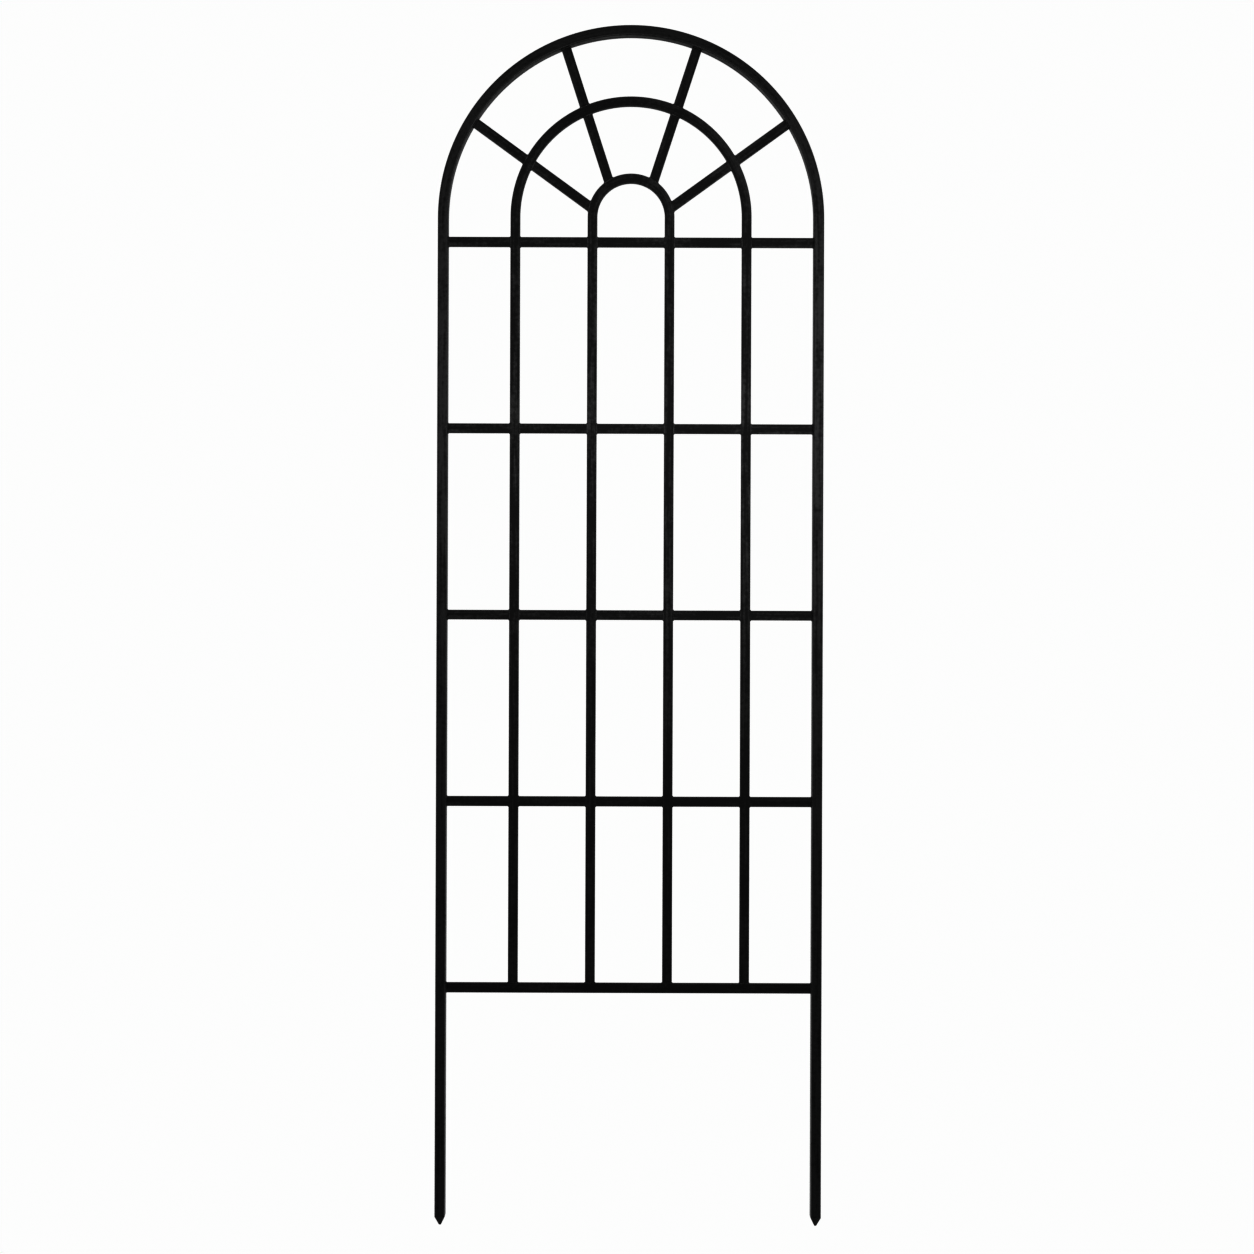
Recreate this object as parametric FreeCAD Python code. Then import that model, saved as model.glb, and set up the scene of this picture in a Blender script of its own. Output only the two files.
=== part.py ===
import FreeCAD, Part
import math
import os

from FreeCAD import Placement, Rotation, Vector

# Arch-topped garden trellis: a flat panel of square tube and flat bar, welded together.
# +Z is up, X runs across the panel and Y through it, with the front at -Y.
# The origin is midway between the tips of the two ground stakes.
# Outlines lie in the middle plane, Y = 0, and every bar is centred on that plane.

# Driving dimensions, in millimetres and degrees.
PANEL_WIDTH = 610.0           # over the outside faces of the two legs
SPRING_HEIGHT = 1592.0        # from the stake tips to where the legs turn into the arch
TUBE_SIZE = 16.0              # square tube of the outer frame
TUBE_WALL = 1.2
TUBE_CORNER = 2.0             # outside corner radius of the tube
BAR_FACE = 15.0               # flat bar of everything inside the frame, seen from the front
BAR_DEPTH = 6.0               # the flat bar through the panel
BAR_EDGE = 0.8                # rounding along the flat bar's edges
UPRIGHT_PITCH = 122.0         # between the centre lines of neighbouring uprights
INNER_SPRING_LIFT = 3.0       # the two inner arches spring this much above the outer one
BOTTOM_RAIL_HEIGHT = 375.0    # from the stake tips to the bottom rail's centre line
TOP_CROSSBAR_DROP = 37.0      # from the spring line down to the top crossbar's centre line
CROSSBAR_ROWS = 4
SPOKE_LEANS = {"high": 18.0, "low": 54.0}    # away from upright, to either side
SPOKE_DROPS = {"high": 49.0, "low": 28.0}    # from the spring line down to where the two meet
POINT_LENGTH = 14.0           # tapered end of each stake
POINT_TIP = 3.0               # width of its blunt end
PLUG_LENGTH = 18.0            # part of the point that sits inside the tube
PLUG_CLEARANCE = 0.2          # between the plug and each wall of the tube
WELD_RADIUS = 1.5             # reach of a weld bead from its corner

# Sizes that follow from them.
FRAME_OUTSIDE = PANEL_WIDTH / 2
FRAME_INSIDE = FRAME_OUTSIDE - TUBE_SIZE
FRAME_CENTRE = FRAME_OUTSIDE - TUBE_SIZE / 2
TUBE_BORE = TUBE_SIZE - 2 * TUBE_WALL
BORE_CORNER = TUBE_CORNER - TUBE_WALL
HALF_FACE = BAR_FACE / 2
INNER_SPRING = SPRING_HEIGHT + INNER_SPRING_LIFT
HUB_RADIUS = UPRIGHT_PITCH / 2
MIDDLE_RADIUS = HUB_RADIUS + UPRIGHT_PITCH
UPRIGHTS = (-MIDDLE_RADIUS, -HUB_RADIUS, HUB_RADIUS, MIDDLE_RADIUS)
RAIL_TOP = BOTTOM_RAIL_HEIGHT + HALF_FACE
TOP_CROSSBAR_HEIGHT = SPRING_HEIGHT - TOP_CROSSBAR_DROP
CROSSBAR_PITCH = (TOP_CROSSBAR_HEIGHT - BOTTOM_RAIL_HEIGHT) / CROSSBAR_ROWS

BAYS = ("far_left", "left", "centre", "right", "far_right")
SIDES = {"left": -1, "right": 1}
CROSSWISE = 90                # lean of a bar that runs straight across
THROUGH = Vector(0, 1, 0)


def rounded_rectangle(width, depth, corner):
    """Face in the XY plane, centred on the origin, with its four corners rounded."""
    arcs = []
    for quarter, (side_x, side_y) in enumerate(((1, 1), (-1, 1), (-1, -1), (1, -1))):
        centre = Vector(side_x * (width / 2 - corner), side_y * (depth / 2 - corner), 0)
        turns = [math.radians(90 * quarter + step) for step in (0, 45, 90)]
        arcs.append([centre + Vector(math.cos(turn), math.sin(turn), 0) * corner for turn in turns])
    edges = []
    for arc, following in zip(arcs, arcs[1:] + arcs[:1]):
        edges.append(Part.Arc(*arc).toShape())
        edges.append(Part.LineSegment(arc[-1], following[0]).toShape())
    return Part.Face(Part.Wire(edges))


def bent_over(section, half_width, spring, foot):
    """Carry a section up one side, round a half circle and down the other side."""
    rise = Vector(0, 0, spring - foot)
    start = section.translated(Vector(half_width, 0, foot))
    right = start.extrude(rise)
    left = right.translated(Vector(-2 * half_width, 0, 0))
    arch = start.translated(rise).revolve(Vector(0, 0, spring), THROUGH, -180)
    return right.fuse([arch, left]).removeSplitter()


def straight_bar(x, z, lean, length):
    """Flat bar from a point of the middle plane, leaning away from upright."""
    bar = rounded_rectangle(BAR_FACE, BAR_DEPTH, BAR_EDGE).extrude(Vector(0, 0, length))
    bar.Placement = Placement(Vector(x, 0, z), Rotation(THROUGH, lean))
    return bar


def bar_outline(x, z, lean, length):
    """Front outline of the bar that straight_bar makes from the same values."""
    left, right = Vector(-HALF_FACE, 0, 0), Vector(HALF_FACE, 0, 0)
    rise = Vector(0, 0, length)
    face = Part.Face(Part.makePolygon([left, right, right + rise, left + rise, left]))
    face.Placement = Placement(Vector(x, 0, z), Rotation(THROUGH, lean))
    return face


def arch_outline(half_width, spring, foot):
    """Filled front outline with two straight sides and a half-round top."""
    low_left, left = Vector(-half_width, 0, foot), Vector(-half_width, 0, spring)
    low_right, right = Vector(half_width, 0, foot), Vector(half_width, 0, spring)
    crown = Vector(0, 0, spring + half_width)
    edges = [
        Part.LineSegment(low_left, left).toShape(),
        Part.Arc(left, crown, right).toShape(),
        Part.LineSegment(right, low_right).toShape(),
        Part.LineSegment(low_right, low_left).toShape(),
    ]
    return Part.Face(Part.Wire(edges))


def through_panel(outline, depth):
    """Give an outline its depth, half towards the front and half towards the back."""
    return outline.translated(THROUGH * (-depth / 2)).extrude(THROUGH * depth)


def outer_frame_tube():
    """One square tube, bent from stake to stake and open at both ends."""
    outside = rounded_rectangle(TUBE_SIZE, TUBE_SIZE, TUBE_CORNER)
    wall = outside.cut(rounded_rectangle(TUBE_BORE, TUBE_BORE, BORE_CORNER))
    return bent_over(wall.Faces[0], FRAME_CENTRE, SPRING_HEIGHT, POINT_LENGTH)


def stake_point(side):
    """Blunt four-sided point whose plug fills the end of the tube."""
    tip = rounded_rectangle(POINT_TIP, POINT_TIP, TUBE_CORNER * POINT_TIP / TUBE_SIZE)
    shoulder = rounded_rectangle(TUBE_SIZE, TUBE_SIZE, TUBE_CORNER)
    seat = Vector(0, 0, POINT_LENGTH)
    taper = Part.makeLoft([tip.OuterWire, shoulder.translated(seat).OuterWire], True, True)
    plug_size = TUBE_BORE - 2 * PLUG_CLEARANCE
    plug = rounded_rectangle(plug_size, plug_size, BORE_CORNER).translated(seat)
    point = taper.fuse(plug.extrude(Vector(0, 0, PLUG_LENGTH)))
    return point.translated(Vector(side * FRAME_CENTRE, 0, 0))


def inner_arch_bar(radius):
    """One flat bar, bent to an arch, with both its feet on the bottom rail."""
    section = rounded_rectangle(BAR_FACE, BAR_DEPTH, BAR_EDGE)
    return bent_over(section, radius, INNER_SPRING, RAIL_TOP)


def inner_arch_outline(radius):
    """Front outline of the bar that inner_arch_bar makes."""
    filled = arch_outline(radius + HALF_FACE, INNER_SPRING, RAIL_TOP)
    return filled.cut(arch_outline(radius - HALF_FACE, INNER_SPRING, RAIL_TOP))


def outer_frame_outline():
    """Front outline of the tube, down to its seat on the stake points."""
    filled = arch_outline(FRAME_OUTSIDE, SPRING_HEIGHT, POINT_LENGTH)
    return filled.cut(arch_outline(FRAME_INSIDE, SPRING_HEIGHT, POINT_LENGTH))


def rail_line():
    """Start, lean and length of the bottom rail, from leg to leg."""
    return (-FRAME_INSIDE, BOTTOM_RAIL_HEIGHT, CROSSWISE, 2 * FRAME_INSIDE)


def crossbar_lines(row):
    """Start, lean and length of the bar in each bay of a row, counted from the top."""
    height = TOP_CROSSBAR_HEIGHT - (row - 1) * CROSSBAR_PITCH
    starts = [-FRAME_INSIDE] + [upright + HALF_FACE for upright in UPRIGHTS]
    ends = [upright - HALF_FACE for upright in UPRIGHTS] + [FRAME_INSIDE]
    lines = {}
    for bay, start, end in zip(BAYS, starts, ends):
        lines[bay] = (start, height, CROSSWISE, end - start)
    return lines


def spoke_line(side, slope):
    """Start, lean and length of a spoke's whole line, from the panel's middle outwards."""
    drop = SPOKE_DROPS[slope]
    return (0, SPRING_HEIGHT - drop, side * SPOKE_LEANS[slope], FRAME_OUTSIDE + drop)


def spoke_gaps():
    """The two curved gaps that the spokes bridge, as front outlines."""
    edges = [
        arch_outline(HUB_RADIUS + HALF_FACE, INNER_SPRING, RAIL_TOP),
        arch_outline(MIDDLE_RADIUS - HALF_FACE, INNER_SPRING, RAIL_TOP),
        arch_outline(MIDDLE_RADIUS + HALF_FACE, INNER_SPRING, RAIL_TOP),
        arch_outline(FRAME_INSIDE, SPRING_HEIGHT, RAIL_TOP),
    ]
    return {"inner": edges[1].cut(edges[0]), "outer": edges[3].cut(edges[2])}


def weld_beads(corners, outlines):
    """A bead at each corner, filling what the outlines leave free around it."""
    beads = []
    for corner in corners:
        disc = Part.Face(Part.Wire(Part.makeCircle(WELD_RADIUS, corner, THROUGH)))
        free = disc.cut(outlines)
        beads += through_panel(free, BAR_DEPTH - 2 * BAR_EDGE).Solids
    return beads


def corner_points(outline):
    """The corners of an outline."""
    return [vertex.Point for vertex in outline.Vertexes]


def add_frame(nodes):
    """The tube, its two points, the two inner arches and the bottom rail."""
    nodes["outer_frame_tube"] = outer_frame_tube()
    for name, side in SIDES.items():
        nodes[name + "_stake_point"] = stake_point(side)
    nodes["middle_arch_bar"] = inner_arch_bar(MIDDLE_RADIUS)
    nodes["hub_arch_bar"] = inner_arch_bar(HUB_RADIUS)
    nodes["bottom_rail"] = straight_bar(*rail_line())


def add_rail_welds(nodes, standing):
    """Beads at the rail's two ends and at the four feet that stand on it."""
    rail = bar_outline(*rail_line())
    corners = corner_points(rail)
    for upright in UPRIGHTS:
        corners += [Vector(upright + side * HALF_FACE, 0, RAIL_TOP) for side in SIDES.values()]
    nodes["welds_bottom_rail"] = Part.makeCompound(weld_beads(corners, standing + [rail]))


def add_crossbars(nodes, standing):
    """Each row of crossbars, one bar to a bay, with the beads at their ends."""
    for row in range(1, CROSSBAR_ROWS + 1):
        beads = []
        for bay, line in crossbar_lines(row).items():
            nodes["crossbar_%d_%s" % (row, bay)] = straight_bar(*line)
            outline = bar_outline(*line)
            beads += weld_beads(corner_points(outline), standing + [outline])
        nodes["welds_crossbar_%d" % row] = Part.makeCompound(beads)


def add_spokes(nodes, standing):
    """The spokes, each cut by the middle arch, with the beads at their ends."""
    beads = []
    for name, side in SIDES.items():
        for slope in SPOKE_LEANS:
            line = spoke_line(side, slope)
            for place, gap in spoke_gaps().items():
                spoke = straight_bar(*line).common(through_panel(gap, BAR_DEPTH))
                nodes["spoke_%s_%s_%s" % (name, slope, place)] = spoke.Solids[0]
                outline = bar_outline(*line).common(gap)
                beads += weld_beads(corner_points(outline), standing + [outline])
    nodes["welds_spokes"] = Part.makeCompound(beads)


def main():
    """Build every piece and write one STEP file for each."""
    standing = [
        outer_frame_outline(),
        inner_arch_outline(MIDDLE_RADIUS),
        inner_arch_outline(HUB_RADIUS),
    ]
    nodes = {}
    add_frame(nodes)
    add_rail_welds(nodes, standing)
    add_crossbars(nodes, standing)
    add_spokes(nodes, standing)
    os.makedirs("parts", exist_ok=True)
    for name, shape in nodes.items():
        shape.exportStep(os.path.join("parts", name + ".step"))


main()
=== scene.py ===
"""Arch-topped garden trellis panel: the coat on its steel, the weld beads at its joints, and its studio.

Lengths are metres. X runs along the panel, Y through it with the front at -Y, and Z up from the stake tips.
"""

import math

import bpy
import numpy as np
from bpy.props import FloatProperty, FloatVectorProperty, PointerProperty
from mathutils import Matrix, Vector


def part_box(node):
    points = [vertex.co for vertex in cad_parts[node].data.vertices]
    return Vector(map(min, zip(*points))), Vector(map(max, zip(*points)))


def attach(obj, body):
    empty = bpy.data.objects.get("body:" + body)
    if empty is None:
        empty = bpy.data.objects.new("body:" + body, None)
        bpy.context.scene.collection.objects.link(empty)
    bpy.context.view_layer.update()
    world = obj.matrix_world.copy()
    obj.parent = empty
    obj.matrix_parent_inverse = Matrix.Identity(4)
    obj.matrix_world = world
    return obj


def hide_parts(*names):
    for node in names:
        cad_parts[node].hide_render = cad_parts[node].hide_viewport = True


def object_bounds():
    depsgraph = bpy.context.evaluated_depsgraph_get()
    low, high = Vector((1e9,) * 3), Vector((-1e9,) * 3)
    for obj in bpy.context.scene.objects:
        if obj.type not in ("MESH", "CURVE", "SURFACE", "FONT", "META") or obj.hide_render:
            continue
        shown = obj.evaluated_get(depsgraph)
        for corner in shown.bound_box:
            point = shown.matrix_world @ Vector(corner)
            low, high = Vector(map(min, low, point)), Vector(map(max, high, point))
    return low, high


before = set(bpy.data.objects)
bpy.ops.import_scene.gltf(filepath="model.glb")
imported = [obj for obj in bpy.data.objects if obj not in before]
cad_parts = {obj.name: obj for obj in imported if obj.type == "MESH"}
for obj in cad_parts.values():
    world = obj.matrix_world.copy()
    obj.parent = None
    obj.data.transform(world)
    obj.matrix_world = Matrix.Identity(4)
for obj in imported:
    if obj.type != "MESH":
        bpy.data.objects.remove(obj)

bl_info = {
    "name": "Trellis Panel",
    "version": (1, 0, 0),
    "blender": (4, 5, 0),
    "location": "View3D > Sidebar > Trellis",
    "description": "Coats, welds and stages an arch-topped steel trellis panel",
    "category": "Object",
}

CAD_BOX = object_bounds()

RAIL_LOW, RAIL_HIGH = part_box("bottom_rail")
LAST_BAR_LOW, LAST_BAR_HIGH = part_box("crossbar_4_centre")
HUB_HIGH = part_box("hub_arch_bar")[1]
MIDDLE_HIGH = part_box("middle_arch_bar")[1]
TUBE_LOW, TUBE_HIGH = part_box("outer_frame_tube")

# The flat bar, the square tube and their rounded edges. The tube's wall is seen nowhere, and is a usual one.
HALF_FACE = (RAIL_HIGH.z - RAIL_LOW.z) / 2
HALF_DEPTH = (RAIL_HIGH.y - RAIL_LOW.y) / 2
HALF_TUBE = (TUBE_HIGH.y - TUBE_LOW.y) / 2
BAR_EDGE = 0.0008
TUBE_CORNER = 0.002
TUBE_WALL = 0.0012

# Where the bars lie. A spoke's line meets the centre line a little below the outer arch's spring line.
RAIL_LEVEL = (RAIL_HIGH.z + RAIL_LOW.z) / 2
LAST_BAR_LEVEL = (LAST_BAR_HIGH.z + LAST_BAR_LOW.z) / 2
LEVEL_PITCH = LAST_BAR_LEVEL - RAIL_LEVEL
HUB_RADIUS = HUB_HIGH.x - HALF_FACE
MIDDLE_RADIUS = MIDDLE_HIGH.x - HALF_FACE
TUBE_RADIUS = TUBE_HIGH.x - HALF_TUBE
INNER_SPRING = HUB_HIGH.z - HUB_HIGH.x
OUTER_SPRING = TUBE_HIGH.z - TUBE_HIGH.x
SPOKE_LEANS = {"high": math.radians(18), "low": math.radians(54)}
SPOKE_FEET = {"high": OUTER_SPRING - 0.049, "low": OUTER_SPRING - 0.028}
SIDES = {"left": -1, "right": 1}
BAYS = ("far_left", "left", "centre", "right", "far_right")
ROWS = (1, 2, 3, 4)

# How finely the surfaces are drawn: steps round an arch, points in a bar's corner, rings along a bead in a
# corner and along a seam over a face, and points round a bead.
ARCH_STEPS = 96
CORNER_POINTS = 5
OUTLINE_POINTS = 4 * CORNER_POINTS
CORNER_RINGS = 7
SEAM_RINGS = 15
BEAD_POINTS = 6

# The shape of a bead: how much it shrinks at its ends, how deep its root goes in, and how wide a seam
# between two flat bars is, as shares of the weld leg.
BEAD_TAPER = 0.33
BEAD_ROOT = 0.3
SEAM_LEG = 0.8

# The coat's patterns. Its thickness wanders over a hand's width as the spray gun passes. Clumps of powder
# melt to specks about 1 mm wide, drawn at 5 mm to show at this distance. The steel's rolling lines are 0.3 mm
# wide and some centimetres long, drawn 4 mm wide to show. The shares say how much each thins the coat.
GUN_PASS = 0.09
SPECK_WIDTH = 0.005
ROLLING_WIDTH = 0.004
ROLLING_LENGTH = 0.09
GUN_SHARE = 0.3
SPECK_SHARE = 0.4
ROLLING_SHARE = 0.6
THIN_FROM = 0.41
THIN_TO = 0.61
THICK_DULLER = 0.08
THIN_GLOSSIER = 0.1
WELD_GLOSSIER = 0.08
EDGE_WEAR = 0.8

# Painted shade for each kind of bar: a share added to how thick the coat lies, so less of it is grey and the
# bar is darker and duller. The tube's negative share is painted light that greys it. Each stands in for how
# the light falls on that kind of bar, not for a real difference in the coat.
PAINTED_SHADE_BY_BAR = {"tube": -0.06, "bent": 0.05, "level": 0.07, "spoke": 0.05}

# The room's light as shares of its strength at the back wall: the front wall, the floor and the side walls.
ROOM_FRONT = 0.47
ROOM_FLOOR = 1.6
ROOM_SIDES = 3.0

# The sweep: its flat floor's radius, its bend's, its height, its steps round the bend and columns round Z.
SWEEP_FLOOR = 7.0
SWEEP_BEND = 2.0
SWEEP_HEIGHT = 9.0
SWEEP_STEPS = 13
SWEEP_COLUMNS = 96

# The soft box, and how the camera was held: a fifth of a degree of roll, and the frame's small shift.
BOX_SIZE = (2.4, 1.2)
BOX_PLACE = (0.45, -2.6, 1.6)
BOX_AIM = (0.1, 0, 1.15)
CAMERA_ROLL = -0.0035
CAMERA_SHIFT = (-0.0022, -0.0288)


def linear(code):
    """Linear colour of an sRGB hex code: c / 12.92 in the toe, ((c + 0.055) / 1.055) ** 2.4 above it."""
    values = [int(code[i:i + 2], 16) / 255 for i in (0, 2, 4)]
    return tuple(c / 12.92 if c <= 0.04045 else ((c + 0.055) / 1.055) ** 2.4 for c in values) + (1.0,)


class TrellisCoat(bpy.types.PropertyGroup):
    full_colour: FloatVectorProperty(
        name="Full coat", description="Colour of the powder coat where it lies thick",
        subtype="COLOR", size=4, min=0, max=1, default=linear("080808"))
    thin_colour: FloatVectorProperty(
        name="Thin coat", description="Colour where the coat lies thinner, as over the steel's rolling lines",
        subtype="COLOR", size=4, min=0, max=1, default=linear("303030"))
    edge_colour: FloatVectorProperty(
        name="Edge coat", description="Colour along the edges, where the melting powder draws back",
        subtype="COLOR", size=4, min=0, max=1, default=linear("3a3a3a"))
    roughness: FloatProperty(
        name="Satin", description="Roughness of the satin surface",
        subtype="FACTOR", min=0, max=1, default=0.46)
    # The humps are about 2 mm apart, drawn at 5 mm to show at this distance.
    peel_pitch: FloatProperty(
        name="Orange peel pitch", description="Distance between the low humps of the baked powder",
        unit="LENGTH", min=0.0005, default=0.005)
    peel_height: FloatProperty(
        name="Orange peel height", description="Height of the humps",
        unit="LENGTH", min=0, precision=6, default=0.00012)


class TrellisWelds(bpy.types.PropertyGroup):
    leg: FloatProperty(
        name="Weld leg", description="How far a bead reaches along each bar from its corner",
        unit="LENGTH", min=0.0005, default=0.0015)
    front_rise: FloatProperty(
        name="Front seam rise", description="How proud the dressed seams stand on the front",
        unit="LENGTH", min=0, precision=5, default=0.00015)
    back_rise: FloatProperty(
        name="Back seam rise", description="How proud the undressed seams stand on the back",
        unit="LENGTH", min=0, precision=5, default=0.0006)
    ripple: FloatProperty(
        name="Ripple", description="Depth of the weld ripples as a share of the bead",
        subtype="FACTOR", min=0, max=0.5, default=0.12)


class TrellisStage(bpy.types.PropertyGroup):
    floor_colour: FloatVectorProperty(
        name="Sweep", description="Colour of the seamless floor and wall",
        subtype="COLOR", size=4, min=0, max=1, default=linear("fefefe"))
    camera_distance: FloatProperty(
        name="Camera distance", description="From the panel's front to the lens",
        unit="LENGTH", min=0.5, default=2.4)
    camera_height: FloatProperty(
        name="Camera height", description="Height of the lens over the stake tips",
        unit="LENGTH", min=0, default=1.0035)
    lens: FloatProperty(
        name="Lens", description="Focal length on a 36 mm wide sensor",
        unit="CAMERA", min=10, default=43.66)
    key_power: FloatProperty(
        name="Soft box", description="Power of the large soft light in front, a little to the right",
        unit="POWER", min=0, default=35)
    room: FloatProperty(
        name="Room light", description="Strength of the light that the pale room gives back",
        min=0, default=0.72)
    gamma: FloatProperty(
        name="Picture gamma",
        description="Under 1 the half tones fall and the white stays, as in a printed catalogue",
        min=0.3, max=1, default=0.5)


def add(tree, kind, inputs=None, **settings):
    """Adds a node: settings are its fields, inputs its sockets, each with a value or an output to link."""
    node = tree.nodes.new(kind)
    for field, value in settings.items():
        setattr(node, field, value)
    for socket, value in (inputs or {}).items():
        if isinstance(value, bpy.types.NodeSocket):
            tree.links.new(value, node.inputs[socket])
        else:
            node.inputs[socket].default_value = value
    return node


def level_lay(tree, place):
    """Bar coordinates of the level bars: height over the nearest bar's centre, depth, and length along X."""
    xyz = add(tree, "ShaderNodeSeparateXYZ", {0: place})
    top, bottom = RAIL_LEVEL + LEVEL_PITCH / 2, RAIL_LEVEL - LEVEL_PITCH / 2
    nearest = add(tree, "ShaderNodeMath", {0: xyz.outputs[2], 1: top, 2: bottom}, operation="WRAP")
    across = add(tree, "ShaderNodeMath", {0: nearest.outputs[0], 1: RAIL_LEVEL}, operation="SUBTRACT")
    return add(tree, "ShaderNodeCombineXYZ", {0: across.outputs[0], 1: xyz.outputs[1], 2: xyz.outputs[0]})


def arched_lay(spring, radius, pitch):
    """Bar coordinates of a bar bent over a half circle, as a function that adds their nodes.

    Across is the distance from the arch's centre, sqrt(x^2 + max(z - spring, 0)^2), less the bar's radius,
    wrapped every pitch so that bars that far apart share one pattern. Along is radius * atan2(max(z -
    spring, 0), x) round the arch, run on down each leg.
    """
    def lay(tree, place):
        xyz = add(tree, "ShaderNodeSeparateXYZ", {0: place})
        rise = add(tree, "ShaderNodeMath", {0: xyz.outputs[2], 1: spring}, operation="SUBTRACT")
        over = add(tree, "ShaderNodeMath", {0: rise.outputs[0], 1: 0.0}, operation="MAXIMUM")
        under = add(tree, "ShaderNodeMath", {0: rise.outputs[0], 1: 0.0}, operation="MINIMUM")
        spoke = add(tree, "ShaderNodeCombineXYZ", {0: xyz.outputs[0], 2: over.outputs[0]})
        reach = add(tree, "ShaderNodeVectorMath", {0: spoke.outputs[0]}, operation="LENGTH")
        off = add(tree, "ShaderNodeMath", {0: reach.outputs["Value"], 1: radius}, operation="SUBTRACT")
        across = add(tree, "ShaderNodeMath", {0: off.outputs[0], 1: pitch / 2, 2: -pitch / 2},
                     operation="WRAP")
        turn = add(tree, "ShaderNodeMath", {0: over.outputs[0], 1: xyz.outputs[0]}, operation="ARCTAN2")
        side = add(tree, "ShaderNodeMath", {0: xyz.outputs[0]}, operation="SIGN")
        leg = add(tree, "ShaderNodeMath", {0: under.outputs[0], 1: side.outputs[0]}, operation="MULTIPLY")
        along = add(tree, "ShaderNodeMath", {0: turn.outputs[0], 1: radius, 2: leg.outputs[0]},
                    operation="MULTIPLY_ADD")
        return add(tree, "ShaderNodeCombineXYZ",
                   {0: across.outputs[0], 1: xyz.outputs[1], 2: along.outputs[0]})
    return lay


def leaning_lay(foot, lean):
    """Bar coordinates of a spoke: Z turned by its lean about its foot on the centre line."""
    def lay(tree, place):
        return add(tree, "ShaderNodeMapping", {0: place, 1: (0, 0, foot), 2: (0, lean, 0)},
                   vector_type="TEXTURE")
    return lay


def plain_lay(tree, place):
    """Bar coordinates where there is no bar to follow, so the lines run up Z."""
    return add(tree, "ShaderNodeMapping", {0: place}, vector_type="TEXTURE")


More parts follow.
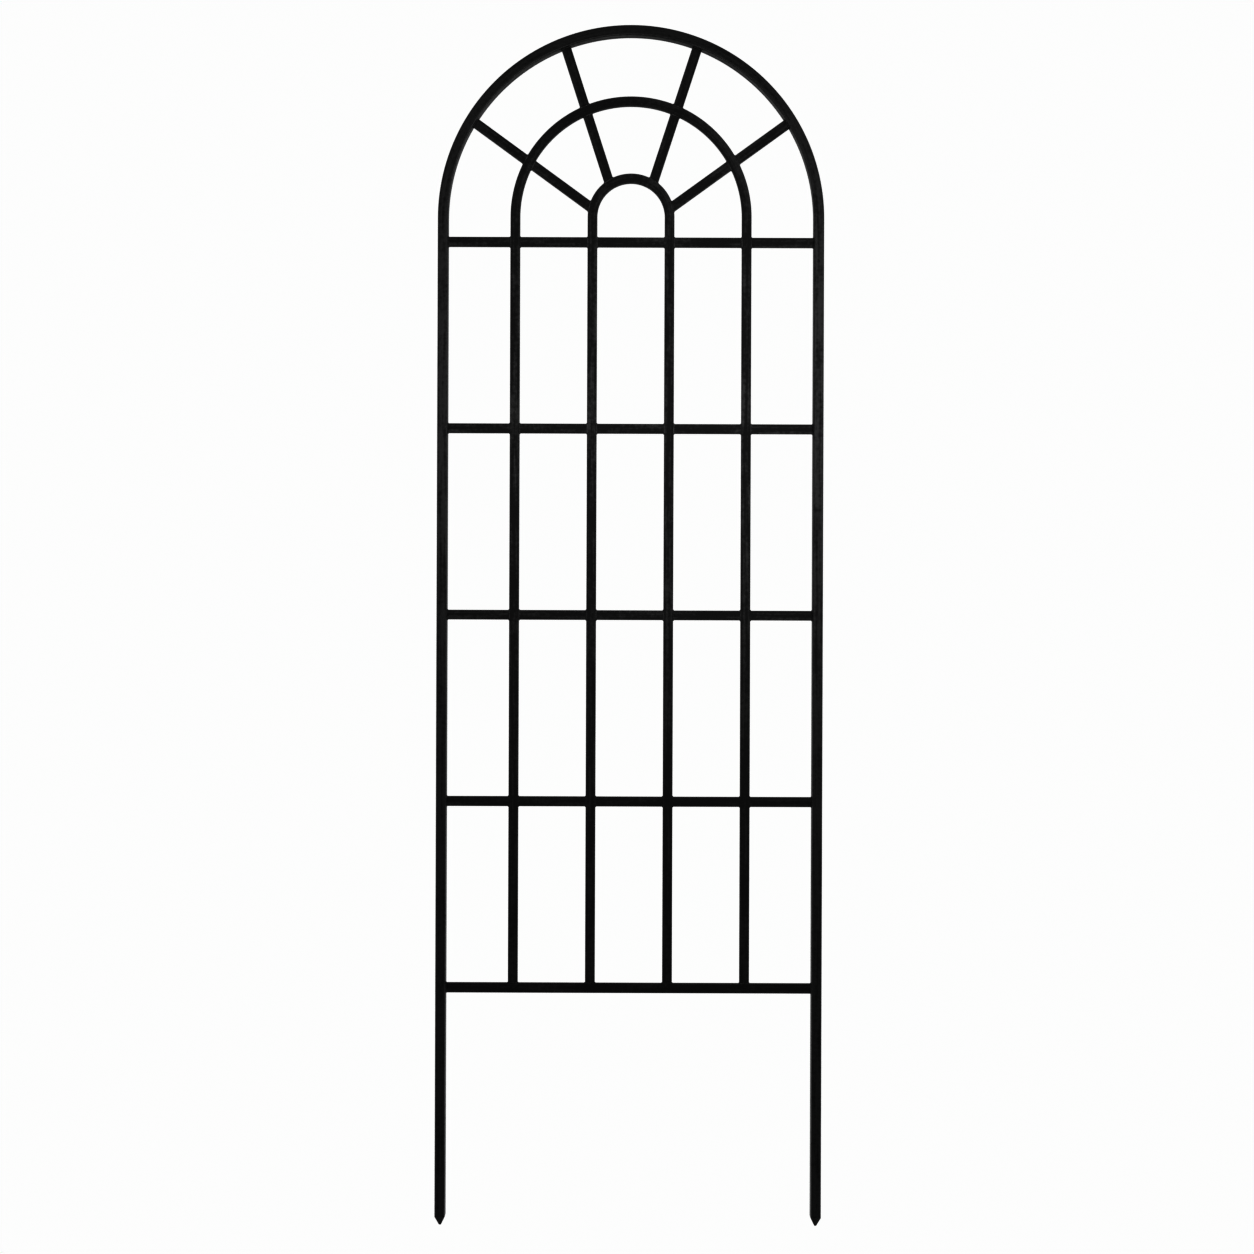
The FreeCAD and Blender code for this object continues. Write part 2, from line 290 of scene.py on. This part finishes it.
def powder_coat(name, lay, half_face, half_depth, edge, coat, roughness=None, thinning=1.0, painted_shade=0.0):
    """Satin black polyester powder, sprayed dry on cut and welded mild steel and melted on in an oven.

    To the eye it is a deep, even black with a soft wide highlight. The highlight breaks up on low humps, the
    orange peel, faint lines left by the steel's rolling show through along each bar, and the corners are a
    touch greyer and smoother, because the powder draws back from them as it melts. Where the coat lies thin
    it is a little greyer and glossier too. painted_shade is painted shade (painted light where it is
    negative): a share taken off the coat's thinness over the whole piece, which darkens and dulls it,
    standing in for how the light falls on that kind of bar.
    """
    material = bpy.data.materials.new(name)
    material.use_nodes = True
    tree = material.node_tree
    tree.nodes.clear()
    place = add(tree, "ShaderNodeTexCoord").outputs["Object"]
    bar = lay(tree, place).outputs[0]
    rough = coat.roughness if roughness is None else roughness

    passes = add(tree, "ShaderNodeTexNoise", {"Vector": place, "Scale": 1 / GUN_PASS, "Detail": 2.0})
    specks = add(tree, "ShaderNodeTexNoise", {"Vector": place, "Scale": 1 / SPECK_WIDTH, "Detail": 2.0})
    finely = (1 / ROLLING_WIDTH, 1 / ROLLING_WIDTH, 1 / ROLLING_LENGTH)
    stretched = add(tree, "ShaderNodeVectorMath", {0: bar, 1: finely}, operation="MULTIPLY")
    lines = add(tree, "ShaderNodeTexNoise", {"Vector": stretched.outputs[0], "Scale": 1.0, "Detail": 1.0})

    # Each pattern adds its share to how thin the coat lies, starting from the gun's passes about their mean,
    # less the piece's painted shade, which darkens the whole bar (or, where negative, is painted light that
    # greys it).
    thinness = -0.5 * GUN_SHARE - painted_shade
    for pattern, share in ((passes, GUN_SHARE), (specks, SPECK_SHARE), (lines, ROLLING_SHARE)):
        thinness = add(tree, "ShaderNodeMath", {0: pattern.outputs[0], 1: share, 2: thinness},
                       operation="MULTIPLY_ADD").outputs[0]
    thin = add(tree, "ShaderNodeMapRange", {0: thinness, 1: THIN_FROM, 2: THIN_TO, 3: 0.0, 4: 1.0})

    # The edge mask is 1 where a point is within an edge radius of both the face's rim and the side's rim.
    parts = add(tree, "ShaderNodeSeparateXYZ", {0: bar})
    rims = []
    for output, half in ((0, half_face), (1, half_depth)):
        size = add(tree, "ShaderNodeMath", {0: parts.outputs[output]}, operation="ABSOLUTE")
        rims.append(add(tree, "ShaderNodeMapRange", {0: size.outputs[0], 1: half - edge, 2: half}))
    rim = add(tree, "ShaderNodeMath", {0: rims[0].outputs[0], 1: rims[1].outputs[0]}, operation="MULTIPLY")
    broken = add(tree, "ShaderNodeMath", {0: rim.outputs[0], 1: specks.outputs[0]}, operation="MULTIPLY")
    worn = add(tree, "ShaderNodeMapRange",
               {0: broken.outputs[0], 1: 0.0, 2: 0.5, 3: 0.0, 4: EDGE_WEAR * thinning})

    tone = add(tree, "ShaderNodeMix", {0: thin.outputs[0], 6: coat.full_colour, 7: coat.thin_colour},
               data_type="RGBA")
    colour = add(tree, "ShaderNodeMix", {0: worn.outputs[0], 6: tone.outputs[2], 7: coat.edge_colour},
                 data_type="RGBA")
    satin = add(tree, "ShaderNodeMapRange",
                {0: thin.outputs[0], 3: rough + THICK_DULLER, 4: rough - THIN_GLOSSIER})
    gloss = add(tree, "ShaderNodeMath", {0: worn.outputs[0], 1: -THIN_GLOSSIER, 2: satin.outputs[0]},
                operation="MULTIPLY_ADD")

    # The steel's lines stand a third as high as the humps.
    peel = add(tree, "ShaderNodeTexNoise", {"Vector": place, "Scale": 1 / coat.peel_pitch, "Detail": 1.0})
    humps = add(tree, "ShaderNodeBump", {"Height": peel.outputs[0], "Distance": coat.peel_height})
    relief = add(tree, "ShaderNodeBump", {"Height": lines.outputs[0], "Distance": coat.peel_height / 3,
                                          "Normal": humps.outputs[0]})
    skin = add(tree, "ShaderNodeBsdfPrincipled", {
        "Base Color": colour.outputs[2], "Roughness": gloss.outputs[0], "Normal": relief.outputs[0],
        "IOR": 1.5})
    add(tree, "ShaderNodeOutputMaterial", {"Surface": skin.outputs[0]})
    return material


def dress(material, *names):
    """Puts a material on CAD nodes, whose shape is left alone."""
    for name in names:
        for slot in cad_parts[name].material_slots:
            slot.material = material


def section(width, depth, corner):
    """Outline of a rounded rectangle, as rows of across and depth, and its normals.

    Each quarter is a corner centre plus corner * (cos a, sin a), with a over a quarter turn, so the flat
    faces lie between one quarter's last point and the next one's first.
    """
    quarter = np.repeat(np.arange(4), CORNER_POINTS)
    angle = (quarter + np.tile(np.linspace(0, 1, CORNER_POINTS), 4)) * math.pi / 2
    normal = np.stack([np.cos(angle), np.sin(angle)], axis=1)
    side = np.array([(1, 1), (-1, 1), (-1, -1), (1, -1)])[quarter]
    return side * (width / 2 - corner, depth / 2 - corner) + corner * normal, normal


def bent_bar(name, node, radius, spring, half_face, half_depth, corner, wall, material):
    """A bar bent over a half circle about (0, spring), with both legs running straight down to its feet.

    The outline is carried along stations at the left foot, round the arch and at the right foot. A point is
    station + across * outward + depth * Y, where outward is (cos t, sin t) in X and Z, with t from half a
    turn down to 0. A tube has a second, smaller outline inside, joined to the first by a ring at each foot.
    The normals are the outline's own, so the flats stay flat and only the corners look round.
    """
    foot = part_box(node)[0].z
    turn = np.linspace(math.pi, 0, ARCH_STEPS + 1)
    turn = np.concatenate([turn[:1], turn, turn[-1:]])
    outward = np.stack([np.cos(turn), np.zeros_like(turn), np.sin(turn)], axis=1)
    station = radius * outward + (0, 0, spring)
    station[[0, -1], 2] = foot
    through = np.array([0.0, 1.0, 0.0])
    points, normals, index = [], [], []
    for inset, sign in ((0.0, 1), (wall, -1)) if wall else ((0.0, 1),):
        outline, way = section(2 * (half_face - inset), 2 * (half_depth - inset), corner - inset)
        across, depth = outline[None, :, :1], outline[None, :, 1:]
        points.append(station[:, None] + across * outward[:, None] + depth * through)
        normals.append(sign * (way[None, :, :1] * outward[:, None] + way[None, :, 1:] * through))
        grid = np.arange(len(station) * OUTLINE_POINTS).reshape(-1, OUTLINE_POINTS)
        index.append(grid + grid.size * len(index))
    outer = index[0]
    beside = np.roll(outer, -1, axis=1)
    quads = [np.stack([outer[:-1], outer[1:], beside[1:], beside[:-1]], axis=-1)]
    if wall:
        inner = index[1]
        within = np.roll(inner, -1, axis=1)
        quads.append(np.stack([inner[:-1], within[:-1], within[1:], inner[1:]], axis=-1))
        rings = np.stack([outer, beside, within, inner], axis=-1)
        ends = np.concatenate([rings[0], rings[-1, :, ::-1]]).tolist()
    else:
        ends = [outer[0].tolist(), outer[-1, ::-1].tolist()]
    sides = np.concatenate([strip.reshape(-1, 4) for strip in quads])
    points = np.concatenate(points).reshape(-1, 3)
    normals = np.concatenate(normals).reshape(-1, 3)
    mesh = bpy.data.meshes.new(name)
    mesh.from_pydata(points, [], sides.tolist() + ends)
    mesh.shade_smooth()
    down = np.tile([0.0, 0.0, -1.0], (sum(len(face) for face in ends), 1))
    mesh.normals_split_custom_set(np.concatenate([normals[sides.reshape(-1)], down]).tolist())
    mesh.materials.append(material)
    piece = bpy.data.objects.new(name, mesh)
    bpy.context.scene.collection.objects.link(piece)
    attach(piece, "root")
    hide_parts(node)
    return piece


def beads(start, middle, end, first, second, leg, rise, sweep, rings, ripple):
    """Weld beads as one set of closed surfaces.

    Each row of the arrays is a bead. Its path is the parabola through start, middle and end. Its outline is
    leg * cos(u) * first + rise * sin(u) * second, with u from 0 to sweep, closed through a point just inside
    the steel. The outline shrinks by a third at the path's ends and swells and dips along it, a ripple every
    second ring.
    """
    first, second = first[:, None, None, :], second[:, None, None, :]
    run = end - start
    flip = np.einsum("ij,ij->i", np.cross(first[:, 0, 0], second[:, 0, 0]), run) < 0
    start, end = np.where(flip[:, None], end, start), np.where(flip[:, None], start, end)
    s = np.linspace(-1, 1, rings)[None, :, None]
    path = (middle[:, None] + s * ((end - start) / 2)[:, None]
            + s ** 2 * ((start + end) / 2 - middle)[:, None])[:, :, None, :]
    swell = 1 - ripple * (np.arange(rings) % 2) - BEAD_TAPER * s[0, :, 0] ** 8
    swell = swell[None, :, None, None]
    u = np.linspace(0, sweep, BEAD_POINTS)[None, None, :, None]
    rise = np.broadcast_to(rise, (len(start),))[:, None, None, None]
    arc = path + swell * (leg * np.cos(u) * first + rise * np.sin(u) * second)
    root = path - BEAD_ROOT * leg * (second if sweep > math.pi / 2 else first + second)
    points = np.concatenate([arc, root], axis=2)
    count, _, around, _ = points.shape
    index = np.arange(count * rings * around).reshape(count, rings, around)
    beside = np.roll(index, -1, axis=2)
    quads = np.stack([index[:, :-1], beside[:, :-1], beside[:, 1:], index[:, 1:]], axis=-1)
    caps = np.concatenate([index[:, 0, ::-1], index[:, -1]])
    return points.reshape(-1, 3), quads.reshape(-1, 4).tolist() + caps.tolist()


def flat(points, depth=0.0):
    """3-D rows from rows of x and z, all at one depth."""
    points = np.asarray(points, float)
    return np.stack([points[:, 0], np.full(len(points), depth), points[:, 1]], axis=1)


class Joints:
    """Butt joints as arrays.

    Each has the butt line's two ends and middle, the way the bar leaves it, the ways the other bar's wall
    runs on past each end, and whether that other bar is the deep outer tube.
    """

    def __init__(self, rows):
        columns = list(zip(*rows))
        self.low, self.high, self.middle, self.out, self.wall_low, self.wall_high = map(np.array, columns[:6])
        self.on_tube = np.array(columns[6])


def level_joints(name):
    """Joints at both ends of a level bar: each butt line is the end of its box."""
    low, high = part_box(name)
    middle = (low.z + high.z) / 2
    return [((x, low.z), (x, high.z), (x, middle), (out, 0.0), (0.0, -1.0), (0.0, 1.0),
             abs(x) > MIDDLE_HIGH.x + HALF_FACE) for x, out in ((low.x, 1.0), (high.x, -1.0))]


def foot_joints():
    """Joints of the four uprights' feet on the bottom rail's upper edge."""
    z = RAIL_HIGH.z
    return [((x - HALF_FACE, z), (x + HALF_FACE, z), (x, z), (0.0, 1.0), (-1.0, 0.0), (1.0, 0.0), False)
            for x in (-MIDDLE_RADIUS, -HUB_RADIUS, HUB_RADIUS, MIDDLE_RADIUS)]


def spoke_joints(side, level):
    """Joints of one spoke's two lengths on the circles they end at.

    A point on the spoke's line is foot + t * lean + w * across, with w -HALF_FACE, 0 or HALF_FACE, and it is
    on a circle of radius r about (0, spring) where t = -b + sqrt(b^2 - c), b = d . lean, c = d . d - r^2 and
    d = foot + w * across - centre.
    """
    lean = np.array([SIDES[side] * math.sin(SPOKE_LEANS[level]), math.cos(SPOKE_LEANS[level])])
    across = np.array([lean[1], -lean[0]])
    foot = np.array([0.0, SPOKE_FEET[level]])
    rows = []
    for radius, spring, out in (
            (HUB_RADIUS + HALF_FACE, INNER_SPRING, 1.0), (MIDDLE_RADIUS - HALF_FACE, INNER_SPRING, -1.0),
            (MIDDLE_RADIUS + HALF_FACE, INNER_SPRING, 1.0), (TUBE_RADIUS - HALF_TUBE, OUTER_SPRING, -1.0)):
        centre = np.array([0.0, spring])
        ends = []
        for width in (-HALF_FACE, HALF_FACE, 0.0):
            away = foot + width * across - centre
            along = away @ lean
            reach = -along + math.sqrt(along ** 2 - away @ away + radius ** 2)
            ends.append(foot + width * across + reach * lean)
        walls = []
        for point, turn in ((ends[0], -1.0), (ends[1], 1.0)):
            spoke = (point - centre) / radius
            walls.append(turn * np.array([spoke[1], -spoke[0]]))
        rows.append((*ends, out * lean, *walls, radius > MIDDLE_HIGH.x + HALF_FACE))
    return rows


def weld(name, node, rows, settings, material):
    """One piece with every bead of a group: a bead in each corner and a seam over each face of each joint."""
    joints = Joints(rows)
    points, faces = [], []

    def keep(made):
        offset = sum(len(p) for p in points)
        points.append(made[0])
        faces.extend([[i + offset for i in face] for face in made[1]])

    depth = HALF_DEPTH - BAR_EDGE
    for corner, wall in ((joints.low, joints.wall_low), (joints.high, joints.wall_high)):
        keep(beads(flat(corner, -depth), flat(corner), flat(corner, depth), flat(joints.out), flat(wall),
                   settings.leg, settings.leg, math.pi / 2, CORNER_RINGS, settings.ripple))
    for face, rise in ((-1.0, settings.front_rise), (1.0, settings.back_rise)):
        y = face * HALF_DEPTH
        proud = np.tile([0.0, face, 0.0], (len(rows), 1))
        for on_tube in (False, True):
            some = joints.on_tube == on_tube
            if not some.any():
                continue
            keep(beads(flat(joints.low[some], y), flat(joints.middle[some], y), flat(joints.high[some], y),
                       flat(joints.out[some]), proud[some], settings.leg * (1.0 if on_tube else SEAM_LEG),
                       settings.leg if on_tube else rise, math.pi / 2 if on_tube else math.pi, SEAM_RINGS,
                       settings.ripple if face > 0 or on_tube else 0.0))
    mesh = bpy.data.meshes.new(name)
    mesh.from_pydata(np.concatenate(points), [], faces)
    mesh.shade_smooth()
    mesh.set_sharp_from_angle(angle=math.radians(60))
    mesh.materials.append(material)
    piece = bpy.data.objects.new(name, mesh)
    bpy.context.scene.collection.objects.link(piece)
    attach(piece, "root")
    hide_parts(node)
    return piece


def weld_coat(coat):
    """The same powder melted over a weld: it pools in the hollows, so it is blacker and a little glossier.

    A bead has no bar's edge to it, so the edge mask is set out of its reach.
    """
    made = bpy.data.materials.get("satin_black_powder_coat_over_weld")
    return made or powder_coat("satin_black_powder_coat_over_weld", plain_lay, 1.0, 1.0, 0.001, coat,
                               roughness=coat.roughness - WELD_GLOSSIER, thinning=0.0)


class TRELLIS_OT_bend_tube(bpy.types.Operator):
    """Bend the outer tube and coat it together with its two stake points"""
    bl_idname = "trellis.bend_tube"
    bl_label = "Bend Tube"

    def execute(self, context):
        coat = context.scene.trellis_coat
        lay = arched_lay(OUTER_SPRING, TUBE_RADIUS, 1.0)
        # The tube's share is negative: painted light that greys the whole tube.
        material = powder_coat("satin_black_powder_coat_on_tube", lay, HALF_TUBE, HALF_TUBE, TUBE_CORNER,
                               coat, painted_shade=PAINTED_SHADE_BY_BAR["tube"])
        bent_bar("bent_outer_tube", "outer_frame_tube", TUBE_RADIUS, OUTER_SPRING,
                 HALF_TUBE, HALF_TUBE, TUBE_CORNER, TUBE_WALL, material)
        dress(material, "left_stake_point", "right_stake_point")
        return {"FINISHED"}


class TRELLIS_OT_bend_arches(bpy.types.Operator):
    """Bend and coat the two flat bars that arch inside the tube"""
    bl_idname = "trellis.bend_arches"
    bl_label = "Bend Arches"

    def execute(self, context):
        lay = arched_lay(INNER_SPRING, HUB_RADIUS, MIDDLE_RADIUS - HUB_RADIUS)
        material = powder_coat("satin_black_powder_coat_on_bent_bar", lay, HALF_FACE, HALF_DEPTH, BAR_EDGE,
                               context.scene.trellis_coat, painted_shade=PAINTED_SHADE_BY_BAR["bent"])
        for name, radius in (("hub_arch", HUB_RADIUS), ("middle_arch", MIDDLE_RADIUS)):
            bent_bar(f"bent_{name}", f"{name}_bar", radius, INNER_SPRING,
                     HALF_FACE, HALF_DEPTH, BAR_EDGE, 0.0, material)
        return {"FINISHED"}


class TRELLIS_OT_coat_level_bars(bpy.types.Operator):
    """Coat the crossbars and the bottom rail"""
    bl_idname = "trellis.coat_level_bars"
    bl_label = "Coat Level Bars"

    def execute(self, context):
        material = powder_coat("satin_black_powder_coat_on_level_bar", level_lay, HALF_FACE, HALF_DEPTH,
                               BAR_EDGE, context.scene.trellis_coat, painted_shade=PAINTED_SHADE_BY_BAR["level"])
        dress(material, "bottom_rail", *(f"crossbar_{row}_{bay}" for row in ROWS for bay in BAYS))
        return {"FINISHED"}


class TRELLIS_OT_coat_spokes(bpy.types.Operator):
    """Coat the four spokes of the sunburst, each along its own lean"""
    bl_idname = "trellis.coat_spokes"
    bl_label = "Coat Spokes"

    def execute(self, context):
        for side, sign in SIDES.items():
            for level, lean in SPOKE_LEANS.items():
                lay = leaning_lay(SPOKE_FEET[level], sign * lean)
                material = powder_coat(f"satin_black_powder_coat_on_{side}_{level}_spoke", lay, HALF_FACE,
                                       HALF_DEPTH, BAR_EDGE, context.scene.trellis_coat,
                                       painted_shade=PAINTED_SHADE_BY_BAR["spoke"])
                dress(material, f"spoke_{side}_{level}_inner", f"spoke_{side}_{level}_outer")
        return {"FINISHED"}


class TRELLIS_OT_weld_crossbars(bpy.types.Operator):
    """Weld the crossbars' ends to the uprights and the tube"""
    bl_idname = "trellis.weld_crossbars"
    bl_label = "Weld Crossbars"

    def execute(self, context):
        for row in ROWS:
            rows = [joint for bay in BAYS for joint in level_joints(f"crossbar_{row}_{bay}")]
            weld(f"weld_beads_crossbar_{row}", f"welds_crossbar_{row}", rows, context.scene.trellis_welds,
                 weld_coat(context.scene.trellis_coat))
        return {"FINISHED"}


class TRELLIS_OT_weld_rail(bpy.types.Operator):
    """Weld the bottom rail to the legs, and the uprights' feet to the rail"""
    bl_idname = "trellis.weld_rail"
    bl_label = "Weld Bottom Rail"

    def execute(self, context):
        weld("weld_beads_bottom_rail", "welds_bottom_rail", level_joints("bottom_rail") + foot_joints(),
             context.scene.trellis_welds, weld_coat(context.scene.trellis_coat))
        return {"FINISHED"}


class TRELLIS_OT_weld_spokes(bpy.types.Operator):
    """Weld the spokes to the arches and the tube"""
    bl_idname = "trellis.weld_spokes"
    bl_label = "Weld Spokes"

    def execute(self, context):
        rows = [joint for side in SIDES for level in SPOKE_LEANS for joint in spoke_joints(side, level)]
        weld("weld_beads_spokes", "welds_spokes", rows, context.scene.trellis_welds,
             weld_coat(context.scene.trellis_coat))
        return {"FINISHED"}


class TRELLIS_OT_stage(bpy.types.Operator):
    """Set up the seamless floor and wall, the soft lights and the camera"""
    bl_idname = "trellis.stage"
    bl_label = "Set Up Stage"

    def execute(self, context):
        stage = context.scene.trellis_stage
        self.cove(stage)
        self.lights(context.scene, stage)
        self.camera(context.scene, stage)
        context.scene.view_settings.view_transform = "Standard"
        context.scene.view_settings.gamma = stage.gamma
        return {"FINISHED"}

    def cove(self, stage):
        """Floor and wall in one: a flat line out, a quarter circle and a line up, carried round Z.

        It is white acrylic sheet, cast, frosted and lit evenly from behind, so the eye sees one white with no
        shadow or horizon. Only the camera sees it, so it throws no glare on the steel.
        """
        turn = np.linspace(0, math.pi / 2, SWEEP_STEPS)
        level = np.array([0.05, 0.5, 2.0, 4.5])
        edge = SWEEP_FLOOR + SWEEP_BEND
        out = np.concatenate([level, SWEEP_FLOOR + SWEEP_BEND * np.sin(turn), [edge, edge]])
        up = np.concatenate([0 * level, SWEEP_BEND - SWEEP_BEND * np.cos(turn), [5.0, SWEEP_HEIGHT]])
        angle = np.linspace(0, 2 * math.pi, SWEEP_COLUMNS, endpoint=False)
        points = np.stack([out[:, None] * np.cos(angle), out[:, None] * np.sin(angle),
                           np.repeat(up[:, None], SWEEP_COLUMNS, axis=1)], axis=-1)
        index = np.arange(len(out) * SWEEP_COLUMNS).reshape(len(out), SWEEP_COLUMNS)
        beside = np.roll(index, -1, axis=1)
        quads = np.stack([index[:-1], index[1:], beside[1:], beside[:-1]], axis=-1)
        mesh = bpy.data.meshes.new("studio_cove")
        mesh.from_pydata(points.reshape(-1, 3), [], quads.reshape(-1, 4).tolist() + [index[0].tolist()])
        mesh.shade_smooth()
        material = bpy.data.materials.new("white_backlit_acrylic_sweep")
        material.use_nodes = True
        tree = material.node_tree
        tree.nodes.clear()
        glow = add(tree, "ShaderNodeEmission", {"Color": stage.floor_colour, "Strength": 1.0})
        add(tree, "ShaderNodeOutputMaterial", {"Surface": glow.outputs[0]})
        mesh.materials.append(material)
        cove = bpy.data.objects.new("studio_cove", mesh)
        bpy.context.scene.collection.objects.link(cove)
        cove.visible_diffuse = False
        cove.visible_glossy = False
        cove.visible_shadow = False

    def lights(self, scene, stage):
        """A pale room, brightest on its side walls, its floor and behind the panel, and one large soft box
        in front, a little to the right."""
        world = bpy.data.worlds.new("pale_studio_room")
        world.use_nodes = True
        tree = world.node_tree
        tree.nodes.clear()
        way = add(tree, "ShaderNodeSeparateXYZ", {0: add(tree, "ShaderNodeTexCoord").outputs["Generated"]})
        back = add(tree, "ShaderNodeMapRange", {0: way.outputs[1], 1: -0.5, 2: 0.5, 3: ROOM_FRONT, 4: 1.0})
        high = add(tree, "ShaderNodeMapRange", {0: way.outputs[2], 1: -0.5, 2: 0.0, 3: ROOM_FLOOR, 4: 1.0})
        aside = add(tree, "ShaderNodeMath", {0: way.outputs[0]}, operation="ABSOLUTE")
        side = add(tree, "ShaderNodeMapRange", {0: aside.outputs[0], 1: 0.35, 2: 0.85, 3: 1.0, 4: ROOM_SIDES})
        level = add(tree, "ShaderNodeMath", {0: back.outputs[0], 1: high.outputs[0]}, operation="MULTIPLY")
        share = add(tree, "ShaderNodeMath", {0: level.outputs[0], 1: side.outputs[0]}, operation="MULTIPLY")
        strength = add(tree, "ShaderNodeMath", {0: share.outputs[0], 1: stage.room}, operation="MULTIPLY")
        glow = add(tree, "ShaderNodeBackground", {"Strength": strength.outputs[0]})
        add(tree, "ShaderNodeOutputWorld", {0: glow.outputs[0]})
        scene.world = world
        light = bpy.data.lights.new("soft_box", "AREA")
        light.shape = "RECTANGLE"
        light.size, light.size_y = BOX_SIZE
        light.energy = stage.key_power
        box = bpy.data.objects.new("soft_box", light)
        box.location = BOX_PLACE
        box.rotation_euler = (Vector(BOX_AIM) - box.location).to_track_quat("-Z", "Y").to_euler()
        scene.collection.objects.link(box)

    def camera(self, scene, stage):
        """Level camera facing the panel, rolled a little, with a small shift that sets the panel high."""
        data = bpy.data.cameras.new("camera")
        data.sensor_width = 36
        data.lens = stage.lens
        data.shift_x, data.shift_y = CAMERA_SHIFT
        camera = bpy.data.objects.new("camera", data)
        place = Matrix.Translation((0, CAD_BOX[0].y - stage.camera_distance, stage.camera_height))
        roll = Matrix.Rotation(CAMERA_ROLL, 4, "Y")
        camera.matrix_world = place @ roll @ Matrix.Rotation(math.pi / 2, 4, "X")
        scene.collection.objects.link(camera)
        scene.camera = camera


OPERATORS = (
    TRELLIS_OT_bend_tube, TRELLIS_OT_bend_arches, TRELLIS_OT_coat_level_bars, TRELLIS_OT_coat_spokes,
    TRELLIS_OT_weld_crossbars, TRELLIS_OT_weld_rail, TRELLIS_OT_weld_spokes, TRELLIS_OT_stage,
)


class TRELLIS_PT_panel(bpy.types.Panel):
    """Sizes, colours and steps of the trellis panel"""
    bl_idname = "TRELLIS_PT_panel"
    bl_label = "Trellis Panel"
    bl_space_type = "VIEW_3D"
    bl_region_type = "UI"
    bl_category = "Trellis"

    def draw(self, context):
        for title, settings in (("Coat", context.scene.trellis_coat), ("Welds", context.scene.trellis_welds),
                                ("Stage", context.scene.trellis_stage)):
            box = self.layout.box()
            box.label(text=title)
            for field in settings.__annotations__:
                box.prop(settings, field)
        for operator in OPERATORS:
            self.layout.operator(operator.bl_idname)


CLASSES = (TrellisCoat, TrellisWelds, TrellisStage) + OPERATORS + (TRELLIS_PT_panel,)


def register():
    for cls in CLASSES:
        bpy.utils.register_class(cls)
    bpy.types.Scene.trellis_coat = PointerProperty(type=TrellisCoat)
    bpy.types.Scene.trellis_welds = PointerProperty(type=TrellisWelds)
    bpy.types.Scene.trellis_stage = PointerProperty(type=TrellisStage)


def unregister():
    del bpy.types.Scene.trellis_stage
    del bpy.types.Scene.trellis_welds
    del bpy.types.Scene.trellis_coat
    for cls in reversed(CLASSES):
        bpy.utils.unregister_class(cls)


def main():
    register()
    bpy.ops.trellis.stage()
    bpy.ops.trellis.bend_tube()
    bpy.ops.trellis.bend_arches()
    bpy.ops.trellis.coat_level_bars()
    bpy.ops.trellis.coat_spokes()
    bpy.ops.trellis.weld_crossbars()
    bpy.ops.trellis.weld_rail()
    bpy.ops.trellis.weld_spokes()


if __name__ == "__main__":
    main()
